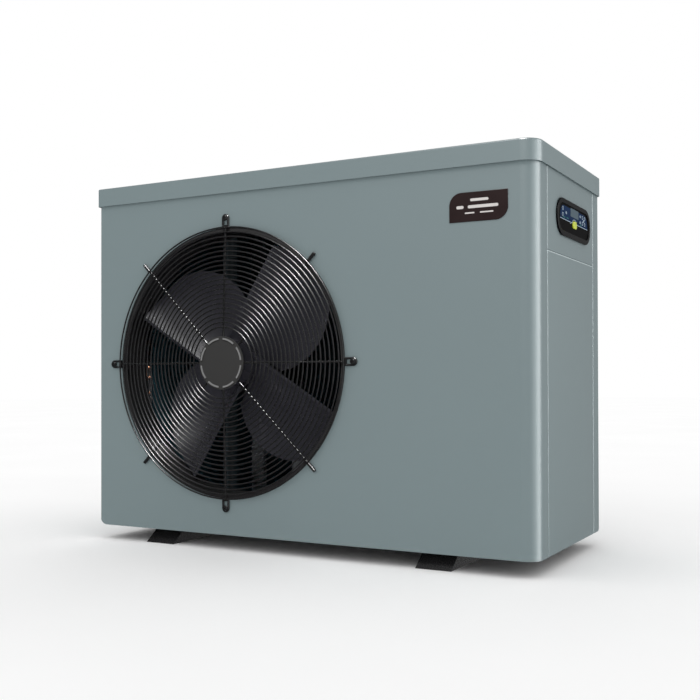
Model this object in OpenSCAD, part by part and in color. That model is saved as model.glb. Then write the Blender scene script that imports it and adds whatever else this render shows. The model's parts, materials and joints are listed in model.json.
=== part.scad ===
// Pool and spa heat pump: one axial fan, L-shaped air coil, hermetic compressor and water heat exchanger.
// Millimetres. +Z is up, +X is to the right seen from the fan side, +Y runs from the fan side to the rear.
// The origin is under the middle of the whole unit, on the ground.

/* [Cabinet] */
// Width across the side panels
cab_w = 864; // [800:1:1060]
// Depth from the front face to the rear face
cab_d = 359; // [350:1:440]
// Height of the casing with its top cover, without the feet
cab_h = 640; // [630:1:780]
// Thickness of the painted sheet
sheet = 1.5; // [1:0.1:2]
// Open joint between neighbouring panels
panel_gap = 0.8; // [0.5:0.1:1.5]
// Outer radius of the front right corner
corner_r = 26; // [15:1:40]
// Outer radius of the tight folds
fold_r = 4; // [3:0.5:6]
// Radius of the lower front left corner
heel_r = 16; // [8:1:20]
// Radius of the lower rear right corner
rear_heel_r = 12; // [6:1:16]
// How far the front panel runs round the right corner
wrap_d = 54.5; // [45:0.5:70]
// Depth of the rear corner piece on the right side
rear_wrap_d = 38; // [25:1:50]
// Height of the joint between the two right panels above the casing's lower edge
split_h = 476; // [440:1:490]
// Depth of the turned edges of the side panels
edge_depth = 12; // [8:1:16]
// Radius of the turned edges
edge_r = 2.5; // [2:0.1:3.5]

/* [Top cover] */
// Height of the skirt
skirt_h = 33.5; // [25:0.5:45]
// Overhang over the front face
skirt_front = 5; // [3:0.5:8]
// Overhang over each side
skirt_side = 3.75; // [3:0.25:6]
// Overhang over the rear face
skirt_rear = 2.5; // [2:0.5:5]
// Rounding of the upper edge
cover_edge_r = 2.5; // [2.5:0.5:6]

/* [Feet] */
// Height of the feet
foot_h = 26; // [20:1:40]
// Width of a foot
foot_w = 62; // [50:1:80]
// Middle of the left foot from the middle of the casing
foot_left_x = 289; // [250:1:320]
// Middle of the right foot from the middle of the casing
foot_right_x = 260; // [240:1:300]
// How far the sloped end runs back over the foot's height
foot_slope = 36; // [20:1:45]
// Wall of the foot channel
foot_wall = 3; // [2:0.5:4]
// Radius of the floor fixing holes
fixing_r = 5.5; // [4:0.5:7]
// Distance of a floor fixing hole from the end of its foot
fixing_inset = 54; // [50:1:70]

/* [Fan] */
// Distance of the fan axis from the left side
fan_from_left = 295; // [285:1:320]
// Height of the fan axis above the casing's lower edge
fan_h = 305; // [290:1:330]
// Inner radius of the shroud throat
throat_r = 232; // [215:1:236]
// Radial gap between the blade tips and the throat
tip_gap = 8; // [5:1:15]
// Number of blades
blades = 4; // [3:1:6]
// Pitch angle of the blades
blade_pitch = 27; // [20:1:32]
// Turn of the first blade from the level line
blade_start = 58; // [0:1:120]
// Radius of the impeller hub
hub_r = 40; // [34:1:48]
// Length of the impeller hub
hub_len = 46; // [40:1:50]
// Radius of the motor shaft
shaft_r = 6; // [5:0.5:8]
// Radius of the motor housing
motor_r = 62; // [52:1:70]
// Length of the motor housing
motor_len = 76; // [60:1:90]

/* [Fan guard] */
// Number of guard rings
ring_count = 22; // [14:1:24]
// Radius of the innermost ring
ring_first_r = 63; // [58:1:75]
// Radius of the outermost ring
ring_last_r = 240.5; // [236:0.5:244]
// Radius of the ring wire
wire_r = 1.4; // [1.2:0.1:1.8]
// Radius of the spoke wire
spoke_r = 2; // [1.8:0.1:2.2]
// Radius of the centre disc
disc_r = 47; // [44:1:54]
// Radius at which the spokes are fixed to the front panel
fixing_ring_r = 257; // [252:1:262]
// Distance of the outermost ring in front of the panel
ring_stand_off = 5.8; // [5.8:0.1:10]
// How much further forward the guard stands at its middle
guard_dome = 6; // [3:0.5:10]

/* [Controller] */
// Length of the bezel
bezel_l = 195; // [180:1:200]
// Height of the bezel
bezel_h = 61; // [61:1:76]
// Corner radius of the bezel
bezel_r = 30; // [22:1:30]
// How far the bezel stands out of the panel
bezel_proud = 3.4; // [2.5:0.1:3.6]
// Middle of the bezel behind the front face
bezel_from_front = 196.5; // [190:0.5:200]
// Middle of the bezel above the casing's lower edge
bezel_mid_h = 538; // [535:0.5:545]
// Travel of the power button
button_travel = 1.2; // [0.8:0.1:1.5]
// Clearance round the power button
button_gap = 0.35; // [0.3:0.05:0.5]

/* [Water unions] */
// Radius of the pipe socket that takes a 50 mm pipe
socket_r = 25.15; // [20:0.05:26]
// Depth of the pipe socket
socket_l = 31; // [25:1:40]
// Height of the lower union above the casing's lower edge
inlet_h = 95; // [90:1:110]
// Height of the upper union above the casing's lower edge
outlet_h = 375; // [340:1:385]
// Running clearance between a union nut and its socket
nut_gap = 0.06; // [0.03:0.01:0.09]

/* [Hidden] */
$fn = 96;
smooth = 32;             // facets round a hull's own children
over = 1;                // overlap of a cutting tool past the face it cuts

paint = [0.49, 0.54, 0.55];
near_black = [0.06, 0.06, 0.06];
zinc = [0.7, 0.72, 0.74];
copper = [0.78, 0.45, 0.3];
pvc_grey = [0.35, 0.37, 0.4];

// Planes of the casing
union_reach = 78;
disc_plate = 2.1;
disc_plate_lift = guard_lift(disc_r) + wire_r + disc_plate;
guard_reach = ceil(10 * (disc_plate_lift + 1.5)) / 10;
disc_rim_h = guard_reach - disc_plate_lift;
front_y = guard_reach - (guard_reach + cab_d + union_reach) / 2;
rear_y = front_y + cab_d;
mid_y = (front_y + rear_y) / 2;
side_x = cab_w / 2;
base_z = foot_h;
floor_z = base_z + sheet;
top_z = base_z + cab_h;
seam_z = top_z - skirt_h;
cover_r = corner_r + 2;
cover_small_r = fold_r + 3;
cover_inner_edge = cover_edge_r - sheet;
edge_overlap = max(0, cover_inner_edge - skirt_rear + sheet);
panel_top_z = top_z - sheet - 0.4 - cover_inner_edge + sqrt(pow(cover_inner_edge, 2) - pow(edge_overlap, 2));
split_z = base_z + split_h;
pan_gap = 0.4;
pan_rim_h = 22;
pan_x = side_x - sheet - pan_gap;

// Fan line
fan_x = fan_from_left - side_x;
fan_z = base_z + fan_h;
tip_r = throat_r - tip_gap;
panel_hole_r = throat_r + 8.5;
shroud_wall = 2.5;
shroud_lip = 22;
shroud_flare = 16;
shroud_len = 68;
hub_y = front_y + 22;
motor_y = hub_y + hub_len + 20;
motor_end_y = motor_y + motor_len;
fit = 0.05;              // radial clearance of a shaft in its bore

// Coil
coil_t = 24;
coil_back_gap = 28;
coil_left_gap = 28;
coil_bend_r = 70;
coil_z = floor_z + 12;
coil_h = cab_h - skirt_h - 26;
coil_y1 = rear_y - coil_back_gap;
coil_y0 = coil_y1 - coil_t;
coil_x0 = -side_x + coil_left_gap;
plate_t = 2;
leg_front_y = front_y + shroud_len + 18;
bend_pitch = 50;
bend_r = 10;
coil_tube_r = 4.5;
tube_row = coil_t / 4;

// Compressor compartment
partition_x = fan_x + throat_r + shroud_wall + shroud_flare + 10;
coil_end_x = partition_x - 16;
comp_x = partition_x + 90;
comp_y = front_y + 110;
comp_r = 58;
comp_h = 262;
comp_lift = 22;
comp_top_z = floor_z + comp_lift + comp_h;
acc_r = 30;
acc_x = comp_x + comp_r + acc_r + 10;
acc_y = front_y + 95;
acc_z = floor_z + 60;
acc_h = 190;
hx_r = 68;
hx_wall = 5;
hx_x = side_x - 88;
hx_y = rear_y - 114;
hx_h = 430;
hx_cap = 14;
hx_top_z = floor_z + hx_h + hx_cap;
valve_x = comp_x - 28;
valve_y = front_y + 232;
valve_z = base_z + 378;
valve_port = 30;
valve_stub = 20;
line_y = coil_y1 - tube_row;
gas_y = coil_y0 + tube_row;
eev_x = partition_x + 52;
eev_z = coil_z + 3 * bend_pitch;
pipe_r = 5;
suction_r = 7;

// Water pipes
water_x = hx_x;
inlet_z = base_z + inlet_h;
outlet_z = base_z + outlet_h;
spigot_r = 25;
spigot_bore = 21;
spigot_start_y = rear_y - 38;
collar_r = 33;
collar_l = 22;
socket_wall = 5.5;
socket_out_r = socket_r + socket_wall;
union_face_y = rear_y + 32;
union_end_y = rear_y + union_reach;
flange_l = 6;
nut_r = 43;
nut_front_y = rear_y + 9;
lip_l = 5;
seal_t = 2;

// Electrical box
box_x0 = partition_x + 14;
box_x1 = side_x - 36;
box_y0 = front_y + 25;
box_y1 = rear_y - 42;
box_z0 = base_z + 494;
box_h = 76;
board_z = box_z0 + 10;
board_t = 1.6;
sink_y0 = front_y + 112;
sink_l = 140;
sink_h = 64;
sink_reach = 44;

// Controller
bezel_y = front_y + bezel_from_front;
bezel_z = base_z + bezel_mid_h;
bezel_rim = 6;
face_recess = 1.4;
face_t = 3;
button_l = 22;
button_w = 12;
button_drop = 5.5;
window_l = 47;
window_w = 14;
window_rise = 13.5;

// Fasteners
screw_r = 2.4;
screw_hole_r = 2.9;
screw_head_r = 5;
screw_head_h = 3;
screw_grip = 6;
bolt_r = 4;
bolt_hole_r = 4.6;
loop_half = 5.5;

// Turns a shape drawn along +Z so that it points along +Y
module along_y(x, y, z) {
    translate([x, y, z]) rotate([-90, 0, 0]) children();
}

// Turns a shape drawn along +Z so that it points along +X
module along_x(x, y, z) {
    translate([x, y, z]) rotate([0, 90, 0]) children();
}

// Extrudes an outline drawn in (Y, Z) along +X
module yz_extrude(x, length) {
    translate([x, 0, 0]) rotate([90, 0, 90]) linear_extrude(length) children();
}

// Extrudes an outline drawn in (X, Z) along +Y
module xz_extrude(y, length) {
    translate([0, y + length, 0]) rotate([90, 0, 0]) linear_extrude(length) children();
}

module block(x0, x1, y0, y1, z0, z1) {
    translate([x0, y0, z0]) cube([x1 - x0, y1 - y0, z1 - z0]);
}

module bar(x0, x1, y0, y1) {
    translate([x0, y0]) square([x1 - x0, y1 - y0]);
}

// Rectangle with round corners, centred
module round_rect(l, w, r) {
    square([l - 2 * r, w], center = true);
    square([l, w - 2 * r], center = true);
    for (sx = [-1, 1], sy = [-1, 1])
        translate([sx * (l / 2 - r), sy * (w / 2 - r)]) circle(r);
}

// Slot with full round ends, centred, along X
module stadium(l, w) {
    square([l - w, w], center = true);
    for (s = [-1, 1])
        translate([s * (l - w) / 2, 0]) circle(w / 2);
}

// A quarter of a bent sheet in plan: centre, outer radius, and the quadrant it fills
module bend(cx, cy, r, qx, qy) {
    translate([cx, cy]) intersection() {
        difference() {
            circle(r);
            circle(r - sheet);
        }
        translate([qx < 0 ? -r - over : 0, qy < 0 ? -r - over : 0]) square(r + over);
    }
}

module tube(r_out, r_in, h) {
    difference() {
        cylinder(r = r_out, h = h);
        translate([0, 0, -over]) cylinder(r = r_in, h = h + 2 * over);
    }
}

module torus(ring_r, r) {
    rotate_extrude() translate([ring_r, 0]) circle(r);
}

// Round bar from one point to the next
module rod(a, b, r) {
    d = b - a;
    l = norm(d);
    translate(a) rotate([0, acos(d[2] / l), atan2(d[1], d[0])]) cylinder(r = r, h = l);
}

// Round bar through several points, with slightly swollen elbows
module pipe_run(points, r) {
    for (i = [0 : len(points) - 2])
        rod(points[i], points[i + 1], r);
    for (i = [1 : len(points) - 2])
        translate(points[i]) sphere(r + 0.8);
}

// Right side panel with its edges turned inwards
module pressed_panel(y0, y1, z0, z1) {
    translate([0, 0, z0]) linear_extrude(z1 - z0) {
        bar(side_x - sheet, side_x, y0 + edge_r, y1 - edge_r);
        bend(side_x - edge_r, y0 + edge_r, edge_r, 1, -1);
        bend(side_x - edge_r, y1 - edge_r, edge_r, 1, 1);
        bar(side_x - edge_depth, side_x - edge_r, y0, y0 + sheet);
        bar(side_x - edge_depth, side_x - edge_r, y1 - sheet, y1);
    }
    for (z = [z0, z1 - sheet])
        block(side_x - edge_depth, side_x - sheet / 2, y0 + sheet / 2, y1 - sheet / 2, z, z + sheet);
}

// Casing ----------------------------------------------------------------------------------------

pan_r = corner_r - sheet - pan_gap;
drain_x = fan_x + 60;
drain_y = mid_y + 60;
drain_bore = 6.5;
foot_bolt_inset = 110;
grommet_ring = 82;

function foot_bolt_points() = [for (x = [-foot_left_x, foot_right_x], y = [front_y + foot_bolt_inset,
    rear_y - foot_bolt_inset]) [x, y]];
function compressor_bolt_points() = [for (a = [90, 210, 330])
    [comp_x + grommet_ring * cos(a), comp_y + grommet_ring * sin(a)]];

// Plan of the pan grown by g
module pan_plan(g) {
    translate([0, mid_y]) round_rect(2 * (pan_x + g), cab_d - 2 * (sheet + pan_gap - g), pan_r + g);
}

// Room that the casing's turned edges leave for the pan
module pan_room() {
    translate([0, 0, base_z - over]) linear_extrude(pan_rim_h + 2 * over) pan_plan(pan_gap / 2);
}

module base_pan() {
    color(zinc) difference() {
        translate([0, 0, base_z]) linear_extrude(pan_rim_h) pan_plan(0);
        translate([0, 0, floor_z]) linear_extrude(pan_rim_h) pan_plan(-sheet);
        translate([drain_x, drain_y, base_z - over]) cylinder(r = drain_bore + 3, h = sheet + 2 * over);
        for (p = foot_bolt_points())
            translate([p[0], p[1], base_z - over]) cylinder(r = bolt_hole_r, h = sheet + 2 * over);
        for (p = rear_screw_points())
            along_y(p[0], rear_y - 3 * sheet - over, p[1]) cylinder(r = screw_hole_r, h = 3 * sheet);
    }
}

guard_angles = [0, 90, 180, 270];

module front_panel() {
    lip = 8;
    wrap_y = front_y + wrap_d - panel_gap;
    color(paint) difference() {
        translate([0, 0, base_z]) linear_extrude(panel_top_z - base_z) {
            bar(-side_x + fold_r, side_x - corner_r, front_y, front_y + sheet);
            bend(side_x - corner_r, front_y + corner_r, corner_r, 1, -1);
            bar(side_x - sheet, side_x, front_y + corner_r, wrap_y - edge_r);
            bend(side_x - edge_r, wrap_y - edge_r, edge_r, 1, 1);
            bar(side_x - lip, side_x - edge_r, wrap_y - sheet, wrap_y);
            bend(-side_x + fold_r, front_y + fold_r, fold_r, -1, -1);
            bar(-side_x, -side_x + sheet, front_y + fold_r, front_y + 22);
        }
        along_y(fan_x, front_y - over, fan_z) cylinder(r = panel_hole_r, h = sheet + 2 * over);
        xz_extrude(front_y - over, 30) difference() {
            bar(-side_x - over, -side_x + heel_r, base_z - over, base_z + heel_r);
            translate([-side_x + heel_r, base_z + heel_r]) circle(heel_r);
        }
        for (a = guard_angles)
            along_y(fan_x + fixing_ring_r * cos(a), front_y - over, fan_z + fixing_ring_r * sin(a))
                cylinder(r = screw_hole_r, h = sheet + 2 * over);
        pan_room();
    }
}

cover_x = side_x + skirt_side;
cover_y0 = front_y - skirt_front;
cover_y1 = rear_y + skirt_rear;
// Sides, radius and first angle of each corner of the cover
cover_corners = [[1, -1, cover_r, -90], [1, 1, cover_small_r, 0], [-1, 1, cover_small_r, 90],
    [-1, -1, cover_small_r, 180]];

function cover_centre(c) = [c[0] * (cover_x - c[2]), c[1] < 0 ? cover_y0 + c[2] : cover_y1 - c[2]];

// Plan of the cover, inset on every side
module cover_plan(inset) {
    difference() {
        bar(-cover_x + inset, cover_x - inset, cover_y0 + inset, cover_y1 - inset);
        for (c = cover_corners)
            translate(cover_centre(c)) difference() {
                translate([c[0] < 0 ? -c[2] - over : 0, c[1] < 0 ? -c[2] - over : 0]) square(c[2] + over);
                circle(c[2] - inset);
            }
    }
}

// Pressed lid: skirt, flat top and a rounded edge between them
module top_cover() {
    edge_z = top_z - cover_edge_r;
    front_l = 2 * cover_x - cover_r - cover_small_r;
    rear_l = 2 * (cover_x - cover_small_r);
    left_l = cover_y1 - cover_y0 - 2 * cover_small_r;
    right_l = cover_y1 - cover_y0 - cover_r - cover_small_r;
    color(paint) {
        translate([0, 0, seam_z]) linear_extrude(edge_z - seam_z) difference() {
            cover_plan(0);
            cover_plan(sheet);
        }
        translate([0, 0, top_z - sheet]) linear_extrude(sheet) cover_plan(cover_edge_r);
        yz_extrude(-cover_x + cover_small_r, front_l)
            bend(cover_y0 + cover_edge_r, edge_z, cover_edge_r, -1, 1);
        yz_extrude(-cover_x + cover_small_r, rear_l)
            bend(cover_y1 - cover_edge_r, edge_z, cover_edge_r, 1, 1);
        xz_extrude(cover_y0 + cover_small_r, left_l)
            bend(-cover_x + cover_edge_r, edge_z, cover_edge_r, -1, 1);
        xz_extrude(cover_y0 + cover_r, right_l)
            bend(cover_x - cover_edge_r, edge_z, cover_edge_r, 1, 1);
        for (c = cover_corners)
            translate([cover_centre(c)[0], cover_centre(c)[1], edge_z]) rotate([0, 0, c[3]])
                rotate_extrude(angle = 90) bend(c[2] - cover_edge_r, 0, cover_edge_r, 1, 1);
    }
}

module right_upper_panel() {
    y0 = front_y + wrap_d;
    y1 = rear_y - rear_wrap_d - panel_gap;
    color(paint) difference() {
        pressed_panel(y0, y1, split_z + panel_gap, panel_top_z);
        yz_extrude(side_x - sheet - over, sheet + 2 * over) translate([bezel_y, bezel_z])
            round_rect(bezel_l - 2 * bezel_rim + 1, bezel_h - 2 * bezel_rim + 1, bezel_r - bezel_rim);
    }
}

module right_lower_panel() {
    color(paint) difference() {
        pressed_panel(front_y + wrap_d, rear_y - rear_wrap_d - panel_gap, base_z, split_z);
        pan_room();
    }
}

rear_split_x = coil_end_x - 12;
pipe_hole_r = spigot_r + 4;
gland_x = box_x0 + 60;
gland_z = box_z0 + 30;
gland_bore = 6.5;
gland_r = 10;

module rear_panel() {
    color(paint) difference() {
        translate([0, 0, base_z]) linear_extrude(panel_top_z - base_z) {
            bar(rear_split_x, side_x - fold_r, rear_y - sheet, rear_y);
            bend(side_x - fold_r, rear_y - fold_r, fold_r, 1, 1);
            bar(side_x - sheet, side_x, rear_y - rear_wrap_d + edge_r, rear_y - fold_r);
            bend(side_x - edge_r, rear_y - rear_wrap_d + edge_r, edge_r, 1, -1);
        }
        for (z = [inlet_z, outlet_z])
            along_y(water_x, rear_y - sheet - over, z) cylinder(r = pipe_hole_r, h = sheet + 2 * over);
        along_y(gland_x, rear_y - sheet - over, gland_z) cylinder(r = gland_r + 0.3, h = sheet + 2 * over);
        yz_extrude(side_x - fold_r - over, fold_r + 2 * over) difference() {
            bar(rear_y - rear_heel_r, rear_y + over, base_z - over, base_z + rear_heel_r);
            translate([rear_y - rear_heel_r, base_z + rear_heel_r]) circle(rear_heel_r);
        }
        for (p = rear_screw_points())
            along_y(p[0], rear_y - sheet - over, p[1]) cylinder(r = screw_hole_r, h = sheet + 2 * over);
        pan_room();
    }
}

left_y0 = front_y + 22 + panel_gap;
slot_pitch = 24;
slot_h = 10;
slot_rows = floor((seam_z - base_z - 80) / slot_pitch);

module left_panel() {
    slot_y0 = leg_front_y + 4;
    slot_l = (rear_y - 46 - slot_y0) / 2 - 8;
    color(paint) difference() {
        translate([0, 0, base_z]) linear_extrude(panel_top_z - base_z) {
            bar(-side_x, -side_x + sheet, left_y0, rear_y - fold_r);
            bend(-side_x + fold_r, rear_y - fold_r, fold_r, -1, 1);
            bar(-side_x + fold_r, -side_x + 20, rear_y - sheet, rear_y);
        }
        for (row = [0 : slot_rows - 1], col = [0, 1])
            yz_extrude(-side_x - over, sheet + 2 * over)
                translate([slot_y0 + col * (slot_l + 16), base_z + 40 + row * slot_pitch])
                    square([slot_l, slot_h]);
    }
}

guard_x0 = -side_x + 20 + panel_gap;
lattice_t = 3;

module rear_coil_guard() {
    x1 = rear_split_x - panel_gap;
    z0 = base_z;
    z1 = panel_top_z;
    frame = 14;
    cols = 22;
    rows = 7;
    cell_w = (x1 - guard_x0 - 2 * frame) / cols;
    cell_h = (z1 - z0 - 2 * frame - 24) / rows;
    rib = 3.2;
    color(near_black) difference() {
        xz_extrude(rear_y - lattice_t, lattice_t) difference() {
            bar(guard_x0, x1, z0, z1);
            for (c = [0 : cols - 1], r = [0 : rows - 1])
                translate([guard_x0 + frame + c * cell_w + rib / 2, z0 + frame + r * cell_h + rib / 2])
                    square([cell_w - rib, cell_h - rib]);
        }
        pan_room();
    }
}

sink_z0 = box_z0 + 6;

module partition_plate() {
    y0 = front_y + sheet + 1;
    y1 = coil_y0 - 3;
    z1 = box_z0 + box_h - 8;
    play = 3;
    color(zinc) difference() {
        union() {
            block(partition_x, partition_x + sheet, y0, y1, floor_z, z1);
            block(partition_x - 12, partition_x + sheet, y0 + 24, y1, floor_z, floor_z + sheet);
        }
        block(partition_x - over, partition_x + sheet + over, sink_y0 - play, sink_y0 + sink_l + play,
            sink_z0 - play, sink_z0 + sink_h + play);
        block(partition_x - over, partition_x + sheet + over, y0 - over, y0 + 2 * sheet, floor_z - over,
            floor_z + pan_rim_h);
    }
}

foot_y0 = front_y + 2;
foot_y1 = rear_y - 2;
function fixing_ys() = [foot_y0 + fixing_inset, foot_y1 - fixing_inset];

// Folded channel with sloped closed ends, floor fixing holes and a spanner window beside each one
module foot(x) {
    window_l = 46;
    window_h = 14;
    inner = foot_wall;
    color(near_black) difference() {
        yz_extrude(x - foot_w / 2, foot_w)
            polygon([[foot_y0, 0], [foot_y1, 0], [foot_y1 - foot_slope, foot_h],
                [foot_y0 + foot_slope, foot_h]]);
        yz_extrude(x - foot_w / 2 + inner, foot_w - 2 * inner)
            polygon([[foot_y0 + 3 * inner, inner], [foot_y1 - 3 * inner, inner],
                [foot_y1 - foot_slope - inner, foot_h - inner],
                [foot_y0 + foot_slope + inner, foot_h - inner]]);
        for (y = fixing_ys()) {
            translate([x, y, -over]) cylinder(r = fixing_r, h = foot_wall + 2 * over);
            block(x - foot_w / 2 - over, x - foot_w / 2 + inner + over, y - window_l / 2, y + window_l / 2,
                (foot_h - window_h) / 2, (foot_h + window_h) / 2);
        }
        for (p = foot_bolt_points())
            translate([p[0], p[1], foot_h - inner - over]) cylinder(r = bolt_hole_r, h = inner + 2 * over);
    }
}

module foot_left() foot(-foot_left_x);
module foot_right() foot(foot_right_x);

function rear_screw_points() = [for (x = [rear_split_x + 14, side_x - 22],
    z = [base_z + 12, (base_z + seam_z) / 2, seam_z - 12]) [x, z]];

// Pan head screw whose head stands on the face at y, pointing along +Y when side is 1
module pan_screw(x, y, z, side, grip) {
    translate([x, y, z]) rotate([side > 0 ? -90 : 90, 0, 0]) {
        cylinder(r = screw_r, h = grip);
        translate([0, 0, -screw_head_h]) difference() {
            cylinder(r1 = screw_head_r - 1, r2 = screw_head_r, h = screw_head_h);
            for (a = [0, 90])
                rotate([0, 0, a]) translate([-2.6, -0.5, -over]) cube([5.2, 1, over + 1.4]);
        }
    }
}

guard_washer_y = front_y - 2 * spoke_r;
bracket_plate = 3;
motor_screw_ring = motor_r - 10;

module pan_screws() {
    color(zinc) {
        for (a = guard_angles)
            pan_screw(fan_x + fixing_ring_r * cos(a), guard_washer_y, fan_z + fixing_ring_r * sin(a), 1,
                2 * spoke_r + screw_grip);
        for (p = rear_screw_points())
            pan_screw(p[0], rear_y, p[1], -1, screw_grip);
        for (a = [45, 135, 225, 315])
            pan_screw(fan_x + motor_screw_ring * cos(a), motor_end_y + bracket_plate,
                fan_z + motor_screw_ring * sin(a), -1, bracket_plate);
    }
}

// Hexagon bolts that hold the feet, heads up in the pan, and nuts on the compressor's grommets
module hex_bolts() {
    color(zinc) {
        for (p = foot_bolt_points())
            translate([p[0], p[1], floor_z]) {
                cylinder(r = 7.5, h = 5.3, $fn = 6);
                translate([0, 0, -sheet - foot_wall - 5]) cylinder(r = bolt_r, h = sheet + foot_wall + 5);
            }
        for (p = compressor_bolt_points())
            translate([p[0], p[1], floor_z]) {
                cylinder(r = 3.6, h = comp_lift + 8);
                translate([0, 0, comp_lift + 8]) cylinder(r = 7.5, h = 5.3, $fn = 6);
            }
    }
}

// Fan guard -------------------------------------------------------------------------------------

ring_pitch = (ring_last_r - ring_first_r) / (ring_count - 1);

// Distance of the ring wire's middle in front of the panel at radius r
function guard_lift(r) = ring_stand_off + guard_dome * (ring_last_r - r) / (ring_last_r - ring_first_r);

module guard_rings() {
    color(near_black)
        for (i = [0 : ring_count - 1]) {
            r = ring_first_r + i * ring_pitch;
            along_y(fan_x, front_y - guard_lift(r), fan_z) torus(r, wire_r);
        }
}

// Point on the guard at angle a and radius r, with its distance in front of the panel
function guard_point(a, r, lift) = [fan_x + r * cos(a), front_y - lift, fan_z + r * sin(a)];

weld = wire_r + spoke_r + 0.05;
spoke_start_r = disc_r - 8;

module spoke_wire(a) {
    rod(guard_point(a, spoke_start_r, guard_lift(spoke_start_r) - weld),
        guard_point(a, ring_last_r + 3, guard_lift(ring_last_r + 3) - weld), spoke_r);
}

// Hairpin of wire lying on the panel round a fixing screw
module fixing_loop(a) {
    start = ring_last_r - 1;
    cross_h = spoke_r - 0.4;
    rise = guard_lift(start) - weld - spoke_r;
    along_y(fan_x, front_y - spoke_r, fan_z) rotate([0, 0, -a]) {
        for (s = [-1, 1])
            translate([start, s * loop_half, 0]) rotate([0, 90, 0])
                cylinder(r = spoke_r, h = fixing_ring_r - start);
        translate([fixing_ring_r, 0, 0]) rotate([0, 0, -90]) rotate_extrude(angle = 180)
            translate([loop_half, 0]) circle(spoke_r);
        translate([start, -loop_half, -rise - cross_h]) cube([5, 2 * loop_half, rise + 2 * cross_h]);
    }
}

// Diagonal spoke with a thick end that bends back onto the panel
module hooked_spoke(a) {
    start = ring_last_r + wire_r + 0.4;
    lift = ring_stand_off - weld + 0.85;
    end_r = spoke_r + 1;
    spoke_wire(a);
    along_y(fan_x, front_y - lift, fan_z) rotate([0, 0, -a]) {
        translate([start, 0, 0]) rotate([0, 90, 0]) {
            cylinder(r = end_r, h = 17);
            translate([0, 0, 17]) cylinder(r1 = end_r, r2 = end_r - 1, h = 1);
        }
        translate([start + 13, 0, 0]) cylinder(r = spoke_r + 0.3, h = lift);
    }
}

module guard_spokes() {
    color(near_black) {
        for (a = guard_angles) {
            spoke_wire(a);
            fixing_loop(a);
            hooked_spoke(a + 45);
        }
    }
}

// Centre disc on the spokes' ends, with a rim of eight short arcs
module guard_disc() {
    rim_w = 3;
    rim_gap = 9;
    seat_h = 2 * wire_r - guard_lift(spoke_start_r) + guard_lift(disc_r);
    color(near_black) along_y(fan_x, front_y - guard_lift(disc_r) - wire_r, fan_z) rotate([180, 0, 0]) {
        cylinder(r = disc_r, h = disc_plate);
        translate([0, 0, -seat_h]) tube(disc_r - 2, spoke_start_r - 2, seat_h + over);
        difference() {
            translate([0, 0, disc_plate - over]) tube(disc_r - 3, disc_r - 3 - rim_w, disc_rim_h + over);
            for (a = [0 : 45 : 179])
                rotate([0, 0, a]) translate([-disc_r, -rim_gap / 2, disc_plate])
                    cube([2 * disc_r, rim_gap, disc_rim_h + over]);
        }
    }
}

badge_x = side_x - 92.5;
badge_z = base_z + 543;

// Leaf shaped plate: two opposite corners round, two sharp
module badge_plate() {
    l = 96.5;
    w = 46;
    r = 20;
    color([0.18, 0.12, 0.12]) xz_extrude(front_y - 1.2, 1.2) translate([badge_x, badge_z]) {
        bar(-l / 2 + r, l / 2, -w / 2 + r, w / 2 - r);
        bar(-l / 2, -l / 2 + r, -w / 2, w / 2 - r);
        bar(l / 2 - r, l / 2, -w / 2 + r, w / 2);
        bar(-l / 2 + r, l / 2 - r, -w / 2, w / 2);
        translate([-l / 2 + r, w / 2 - r]) circle(r);
        translate([l / 2 - r, -w / 2 + r]) circle(r);
    }
}

// Fan and motor ---------------------------------------------------------------------------------

module fan_shroud() {
    y0 = front_y + sheet;
    color(near_black) along_y(fan_x, y0, fan_z) {
        tube(throat_r + shroud_lip, throat_r, shroud_wall);
        tube(throat_r + shroud_wall, throat_r, shroud_len - shroud_flare);
        translate([0, 0, shroud_len - shroud_flare]) rotate_extrude() translate([throat_r + shroud_flare, 0])
            intersection() {
                difference() {
                    circle(shroud_flare);
                    circle(shroud_flare - shroud_wall);
                }
                translate([-shroud_flare - over, 0]) square(shroud_flare + over);
            }
    }
}

// One cambered blade: a slice of a thin wide cylinder, tilted to the pitch and cut to a sickle outline
module blade() {
    camber_r = 190;
    blade_t = 3;
    sweep = 62;
    root = hub_r - 4;
    intersection() {
        rotate([blade_pitch, 0, 0]) translate([0, 0, -camber_r]) rotate([0, 90, 0])
            tube(camber_r + blade_t / 2, camber_r - blade_t / 2, tip_r + over);
        translate([0, 0, -hub_len / 2]) linear_extrude(hub_len) difference() {
            intersection() {
                circle(tip_r);
                translate([tip_r * 0.52, -tip_r * 0.02]) rotate([0, 0, -8]) circle(tip_r * 0.52);
                translate([root - 8, -tip_r]) square([tip_r, 2 * tip_r]);
            }
            translate([0, -tip_r - sweep]) circle(sweep + 22);
        }
    }
}

module impeller() {
    ring = 9;
    color([0.2, 0.21, 0.23]) along_y(fan_x, hub_y, fan_z) difference() {
        union() {
            tube(hub_r, hub_r - 4, hub_len);
            cylinder(r = hub_r, h = 4);
            cylinder(r = shaft_r + ring, h = hub_len);
            for (i = [0 : blades - 1])
                rotate([0, 0, -blade_start - i * 360 / blades]) translate([0, 0, hub_len / 2]) blade();
        }
        translate([0, 0, -over]) cylinder(r = shaft_r + fit, h = hub_len + 2 * over);
        translate([0, 0, 4]) difference() {
            cylinder(r = hub_r - 4, h = hub_len);
            translate([0, 0, -over]) cylinder(r = shaft_r + ring, h = hub_len + 2 * over);
        }
    }
}

nut_t = 8;

module impeller_nut() {
    color(zinc) along_y(fan_x, hub_y - nut_t, fan_z) difference() {
        cylinder(r = 11, h = nut_t, $fn = 6);
        translate([0, 0, -over]) cylinder(r = shaft_r + fit, h = nut_t + 2 * over);
    }
}

bearing_r = 15;
bearing_w = 9;
can_wall = 3;

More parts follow.
